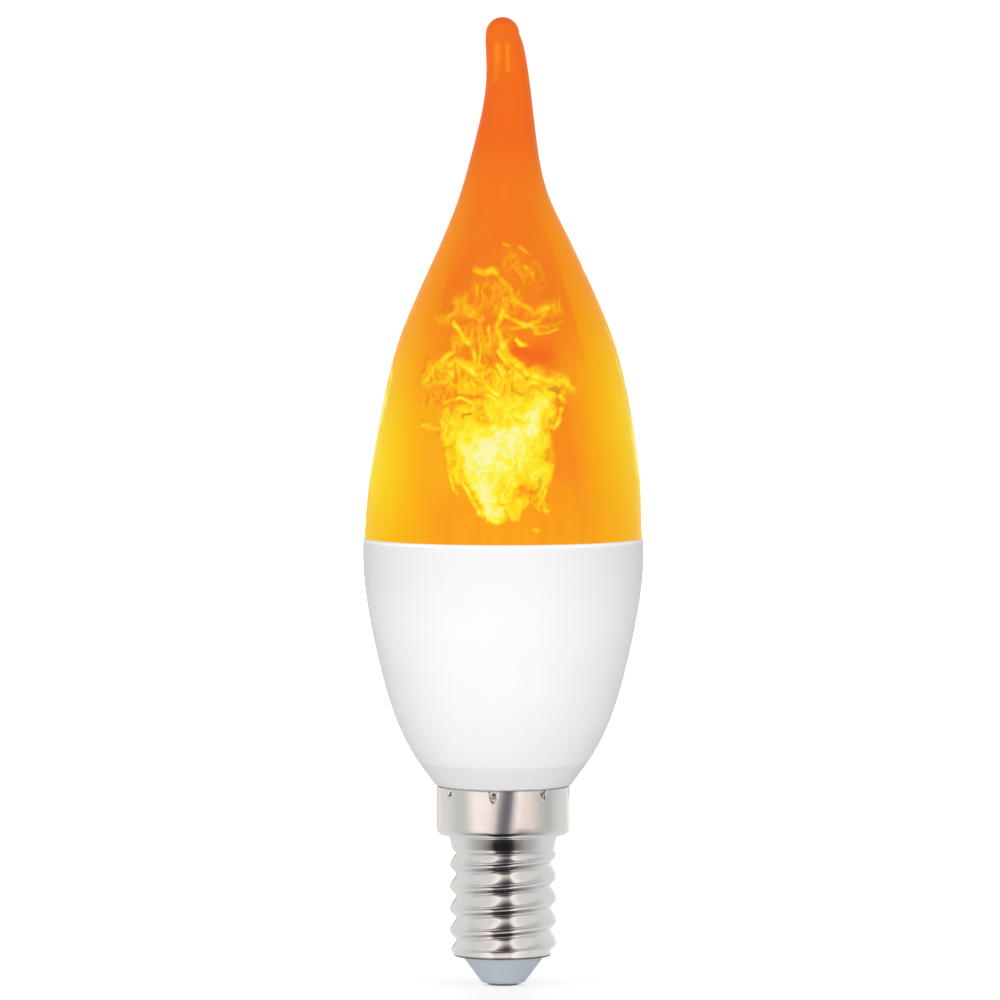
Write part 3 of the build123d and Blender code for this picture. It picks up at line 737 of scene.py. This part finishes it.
MATERIALS = {
    "amber_cover": cover_material(),
    "white_housing": housing_material(),
    # The shell's lower end gets a painted shade ring
    "nickel_plate": metal(
        "nickel_plate_bright", linear(232, 230, 229), linear(227, 226, 225), 0.1, 0.012, SHELL_END
    ),
    "insulator_plastic": plastic(
        "insulator_pale", linear(184, 193, 201), linear(178, 187, 196), 0.4, 0.1
    ),
    "contact_metal": metal(
        "contact_dull", linear(128, 125, 120), linear(112, 110, 106), 0.3, 0.1
    ),
    "led_board": plastic(
        "led_board_white", linear(232, 232, 228), linear(222, 224, 220), 0.45
    ),
    "carrier_plastic": plastic(
        "carrier_white", linear(228, 228, 226), linear(218, 218, 218), 0.5
    ),
    "led_body": plastic(
        "led_amber_lens", linear(252, 208, 96), linear(246, 190, 70), 0.3, 0.3
    ),
    "chip_black": plastic("chip_moulded", linear(38, 38, 40), linear(28, 28, 30), 0.5),
    "driver_laminate": plastic("driver_green", linear(34, 104, 62), linear(26, 88, 52), 0.4, 0.2),
    "capacitor_can": plastic(
        "capacitor_sleeve", linear(44, 50, 72), linear(34, 38, 58), 0.35, 0.3
    ),
    "ferrite": plastic("ferrite_dark", linear(58, 56, 56), linear(44, 42, 44), 0.6),
    "resistor_coat": plastic(
        "resistor_green", linear(120, 156, 138), linear(104, 140, 124), 0.55
    ),
    "wire_sleeve": plastic("wire_red", linear(176, 44, 38), linear(150, 34, 32), 0.45),
}

for entry in frame["record"]["subparts"]:
    node = nodes[entry["node"]]
    node.data.materials.clear()
    node.data.materials.append(MATERIALS[entry["material_slot"]])


def add_mesh(name, points, faces, material, smooth=False):
    """Mesh object of one material, in the scene."""
    mesh = bpy.data.meshes.new(name)
    mesh.from_pydata(points, [], faces)
    mesh.validate()
    mesh.materials.append(material)
    for polygon in mesh.polygons:
        polygon.use_smooth = smooth
    item = bpy.data.objects.new(name, mesh)
    scene.collection.objects.link(item)
    return item


def band_faces(rings, turns, inward=False):
    """Four-sided faces between closed rings of points that follow one another."""
    faces = []
    for ring in range(rings - 1):
        for turn in range(turns):
            first = ring * turns + turn
            after = ring * turns + (turn + 1) % turns
            if inward:
                faces.append((first, after, after + turns, first + turns))
            else:
                faces.append((first, first + turns, after + turns, after))
    return faces


def smooth_step(low, high, value):
    """Rises smoothly from 0 to 1 between two values, which may be given either way round."""
    share = min(max((value - low) / (high - low), 0.0), 1.0)
    return share * share * (3 - 2 * share)


def neck_radius(height):
    """Radius in mm of the neck, which opens like a bell below the collar."""
    bell = NECK_BELL * max(height - NECK_BELL_FOOT, 0.0) ** 2
    return NECK_RADIUS + NECK_FLARE * (height - NECK_MIDDLE) + bell


def shell_radius(turn, height):
    """Radius of the rolled thread in mm; it runs out into the neck and the lower end."""
    phase = (height - THREAD_FIRST) / THREAD_PITCH - turn / (2 * pi)
    swing = 2 * pi * phase
    crest = 0.5 + 0.5 * cos(swing - THREAD_LEAN * (1 - cos(swing)))
    depth = THREAD_DEPTH * smooth_step(*THREAD_LOW_RUNOUT, height)
    radius = THREAD_ROOT + depth * crest ** THREAD_FULLNESS
    neck = smooth_step(*THREAD_HIGH_RUNOUT, height)
    return radius + (neck_radius(height) - radius) * neck


def stake_depth(turn, height):
    """Depth in mm of the staking creases pressed in below the collar's edge."""
    spacing = 2 * pi / STAKES
    offset = (turn - STAKE_FIRST + spacing / 2) % spacing - spacing / 2
    across = abs(offset) * COLLAR_RADIUS
    rise = (height - STAKE_FOOT) / (COLLAR_TOP - STAKE_FOOT)
    if rise <= 0 or across > STAKE_REACH:
        return 0.0
    half_width = CREASE_HALF_WIDTH + CREASE_SPREAD * rise
    crease = CREASE_DEPTH * smooth_step(half_width, 0.0, across) * smooth_step(0.0, 0.5, rise)
    pit = exp(-((across / PIT_WIDTH) ** 2 + ((height - STAKE_PIT) / PIT_HEIGHT) ** 2))
    return crease + PIT_DEPTH * pit


def collar_swell(turn, height):
    """Unevenness in mm of the rolled collar's front, which leans its reflections."""
    offset = (turn + 1.5 * pi) % (2 * pi) - pi
    rise = (height - COLLAR_MIDDLE) / (COLLAR_TOP - COLLAR_MIDDLE)
    return COLLAR_SWELL * rise * offset * exp(-((offset / SWELL_REACH) ** 2))


def shell_rows():
    """Heights and radii in mm down the shell; None where the thread sets the radius."""
    half = SHEET / 2
    rim = COLLAR_RADIUS - half
    rows = [(COLLAR_TOP - HEM, rim - half)]
    for step in range(ARC_STEPS + 1):
        turn = pi * step / ARC_STEPS
        rows.append((COLLAR_TOP - half + half * sin(turn), rim - half * cos(turn)))
    height = COLLAR_TOP - half - ROW_STEP
    while height > STAKE_FOOT - ROW_STEP:
        rows.append((height, COLLAR_RADIUS))
        height -= ROW_STEP
    corner = COLLAR_FLOOR + COLLAR_CORNER
    for step in range(1, WALL_STEPS + 1):
        rows.append((STAKE_FOOT + (corner - STAKE_FOOT) * step / WALL_STEPS, COLLAR_RADIUS))
    for step in range(1, ARC_STEPS + 1):
        turn = pi / 2 * step / ARC_STEPS
        rows.append((
            corner - COLLAR_CORNER * sin(turn),
            COLLAR_RADIUS - COLLAR_CORNER + COLLAR_CORNER * cos(turn),
        ))
    neck_top = COLLAR_FLOOR - NECK_FILLET
    for step in range(FILLET_STEPS + 1):
        turn = pi / 2 * step / FILLET_STEPS
        rows.append((
            neck_top + NECK_FILLET * cos(turn),
            neck_radius(neck_top) + NECK_FILLET - NECK_FILLET * sin(turn),
        ))
    height = neck_top - 1.5 * ROW_STEP
    while height > SHELL_END + LIP_RISE:
        rows.append((height, None))
        height -= ROW_STEP
    return rows


def shell_ring(height, reach_at):
    """Points in metres round the shell, from a reach in mm for each turn."""
    points = []
    for column in range(SHELL_COLUMNS):
        turn = 2 * pi * column / SHELL_COLUMNS
        reach = reach_at(turn)
        points.append((reach * cos(turn) * MM, reach * sin(turn) * MM, height * MM))
    return points


def outer_reach(turn, height, radius):
    """Radius in mm of the shell's outside, with its swell and stakes on the collar."""
    reach = shell_radius(turn, height) if radius is None else radius
    if height > COLLAR_FLOOR:
        reach += collar_swell(turn, height)
    if height > STAKE_FOOT:
        reach -= stake_depth(turn, height)
    return reach


def add_screw_shell():
    """Rolled nickel-plated sheet with its staking creases and thread."""
    points = []
    for height, radius in shell_rows():
        points += shell_ring(height, lambda turn: outer_reach(turn, height, radius))
    for rise, shrink in LIP_ROUNDING:
        points += shell_ring(
            SHELL_END + rise, lambda turn: shell_radius(turn, SHELL_END + LIP_RISE) - shrink
        )
    points += shell_ring(SHELL_END, lambda turn: LIP_RADIUS)
    faces = band_faces(len(points) // SHELL_COLUMNS, SHELL_COLUMNS)
    shell = add_mesh("rolled_shell", points, faces, MATERIALS["nickel_plate"], smooth=True)
    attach(shell, "root")
    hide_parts("screw_shell")


def white_stage_material():
    """Pale floor that the camera sees as white, and that keeps the lamp's shadow."""
    shader = Shader("studio_white")
    rays = shader.tree.nodes.new("ShaderNodeLightPath")
    seen = shader.math("MAXIMUM", rays.outputs["Is Camera Ray"], rays.outputs["Is Glossy Ray"])
    seen = shader.math("MAXIMUM", seen, rays.outputs["Is Transmission Ray"])
    x, y, z = shader.split(shader.place())
    reach = shader.vector("LENGTH", shader.join(x, y, 0.0))
    glow = shader.ramp(reach, *FLOOR_FADE, *FLOOR_GLOW)
    shader.set(
        Base_Color=shader.mix(seen, linear(246, 246, 246), linear(235, 235, 235)),
        Roughness=0.9,
        Specular_IOR_Level=0.0,
        Emission_Color=WHITE,
        Emission_Strength=shader.math("MULTIPLY", seen, glow),
    )
    return shader.material


def add_stage():
    """Floor that curves up into a backdrop on all sides."""
    flat = FLOOR_SIZE - BACKDROP_RADIUS
    profile = [(flat, 0.0)]
    for step in range(1, BACKDROP_STEPS + 1):
        angle = pi / 2 * step / BACKDROP_STEPS
        profile.append((
            flat + BACKDROP_RADIUS * sin(angle), BACKDROP_RADIUS - BACKDROP_RADIUS * cos(angle)
        ))
    profile.append((FLOOR_SIZE, FLOOR_SIZE))
    points = []
    for reach, height in profile:
        for turn in range(STAGE_TURNS):
            angle = 2 * pi * turn / STAGE_TURNS
            points.append((reach * cos(angle), reach * sin(angle), height))
    centre = len(points)
    points.append((0.0, 0.0, 0.0))
    faces = [(centre, turn, (turn + 1) % STAGE_TURNS) for turn in range(STAGE_TURNS)]
    faces += band_faces(len(profile), STAGE_TURNS)
    stage = add_mesh("studio_floor", points, faces, white_stage_material(), smooth=True)


def around(azimuth, elevation, distance):
    """Point seen from the lamp's middle; azimuth runs to the right from the front."""
    turn, rise = radians(azimuth), radians(elevation)
    return Vector((0.0, 0.0, AIM_HEIGHT)) + distance * Vector((
        sin(turn) * cos(rise), -cos(turn) * cos(rise), sin(rise)
    ))


def tent_material():
    """Soft fields round the lamp, dark bands above and below the horizon."""
    shader = Shader("studio_tent")
    x, y, z = shader.split(shader.place())
    azimuth = shader.math("ARCTAN2", x, shader.math("MULTIPLY", y, -1))
    turn = shader.ramp(azimuth, -pi, pi, smooth=False)
    fields = shader.colours(turn, screen_stops(
        ((degrees + 180) / 360, colour) for degrees, colour in TENT_COLOURS
    ))
    reach = shader.vector("LENGTH", shader.join(x, y, 0.0))
    rise = shader.math(
        "ARCTAN2",
        shader.math("SUBTRACT", z, THREAD_MIDDLE), shader.math("SUBTRACT", reach, THREAD_REACH),
    )
    sideways = shader.math("ABSOLUTE", shader.math("SINE", azimuth))
    stretch = shader.ramp(sideways, 0.25, 0.52, TENT_FRONT_STRETCH, 1.0)
    rise = shader.math("MULTIPLY", rise, stretch)
    open_colour = shader.mix(
        shader.ramp(sideways, 0.8, 0.35), linear(206, 205, 203), linear(244, 235, 229)
    )
    open_share = shader.ramp(shader.math("ABSOLUTE", rise), *TENT_OPEN)
    aside = shader.math("DIVIDE", shader.math("ABSOLUTE", azimuth), pi)
    band_colour = shader.colours(aside, screen_stops(
        (degrees / 180, (grey, grey, grey)) for degrees, grey in BAND_GREYS
    ))
    band_share = shader.colours(
        shader.ramp(rise, -pi / 2, pi / 2, smooth=False),
        tuple(((degrees + 90) / 180, (share, share, share, 1.0)) for degrees, share in TENT_BANDS),
    )
    colour = shader.mix(band_share, shader.mix(open_share, fields, open_colour), band_colour)
    shader.set(
        Base_Color=(0.0, 0.0, 0.0, 1.0),
        Specular_IOR_Level=0.0,
        Emission_Color=colour,
        Emission_Strength=TENT_LEVEL,
    )
    shader.material.cycles.emission_sampling = "NONE"
    return shader.material


def add_tent():
    """Upright ring and its floor, seen by reflections alone."""
    profile = (
        (TENT_FOOT, TENT_LIFT), (TENT_RADIUS / 3, TENT_LIFT),
        (TENT_RADIUS, TENT_LIFT), (TENT_RADIUS, TENT_HEIGHT),
    )
    points = []
    for reach, height in profile:
        for step in range(TENT_TURNS):
            turn = 2 * pi * step / TENT_TURNS
            points.append((reach * sin(turn), -reach * cos(turn), height))
    faces = band_faces(len(profile), TENT_TURNS, inward=True)
    tent = add_mesh("studio_tent", points, faces, tent_material())
    tent.visible_camera = False
    tent.visible_diffuse = False
    tent.visible_shadow = False
    tent.visible_transmission = False


def aim_at(item, aim):
    """Turns a lamp or a camera towards a point."""
    item.rotation_euler = (aim - item.location).to_track_quat("-Z", "Y").to_euler()


def add_light(name, azimuth, elevation, distance, size, power, colour):
    """Soft rectangular lamp aimed at the middle of the object."""
    lamp = bpy.data.lights.new(name, "AREA")
    lamp.shape = "RECTANGLE"
    lamp.size, lamp.size_y = size
    lamp.energy = power
    lamp.color = colour
    item = bpy.data.objects.new(name, lamp)
    item.location = around(azimuth, elevation, distance)
    aim_at(item, Vector((0.0, 0.0, AIM_HEIGHT)))
    item.visible_glossy = False
    scene.collection.objects.link(item)


def add_world():
    """White surroundings: seen as white, dimmer as light."""
    world = bpy.data.worlds.new("studio")
    scene.world = world
    world.use_nodes = True
    tree = world.node_tree
    ground = tree.nodes["Background"]
    rays = tree.nodes.new("ShaderNodeLightPath")
    seen = rays.outputs["Is Camera Ray"]
    for kind in ("Is Glossy Ray", "Is Transmission Ray"):
        highest = tree.nodes.new("ShaderNodeMath")
        highest.operation = "MAXIMUM"
        tree.links.new(seen, highest.inputs[0])
        tree.links.new(rays.outputs[kind], highest.inputs[1])
        seen = highest.outputs[0]
    strength = tree.nodes.new("ShaderNodeMapRange")
    tree.links.new(seen, strength.inputs["Value"])
    strength.inputs["To Min"].default_value = WORLD_FILL
    strength.inputs["To Max"].default_value = WORLD_SEEN
    tree.links.new(strength.outputs[0], ground.inputs["Strength"])
    ground.inputs["Color"].default_value = WHITE


def add_camera():
    """Long lens that fits the frame's width to a square picture."""
    camera = bpy.data.cameras.new("camera")
    camera.sensor_width = SENSOR_WIDTH
    camera.sensor_fit = "HORIZONTAL"
    camera.lens = SENSOR_WIDTH * CAMERA_DISTANCE / FRAME_WIDTH
    camera.clip_end = CAMERA_FAR
    item = bpy.data.objects.new("camera", camera)
    aim = Vector((AIM_SIDE, 0.0, AIM_HEIGHT))
    item.location = aim + CAMERA_DISTANCE * Vector((
        0.0, -cos(CAMERA_ELEVATION), sin(CAMERA_ELEVATION)
    ))
    aim_at(item, aim)
    scene.collection.objects.link(item)
    scene.camera = item


add_screw_shell()
add_camera()
add_stage()
add_world()
add_tent()
for softbox in SOFTBOXES:
    add_light(*softbox)

scene.view_settings.view_transform = "Standard"
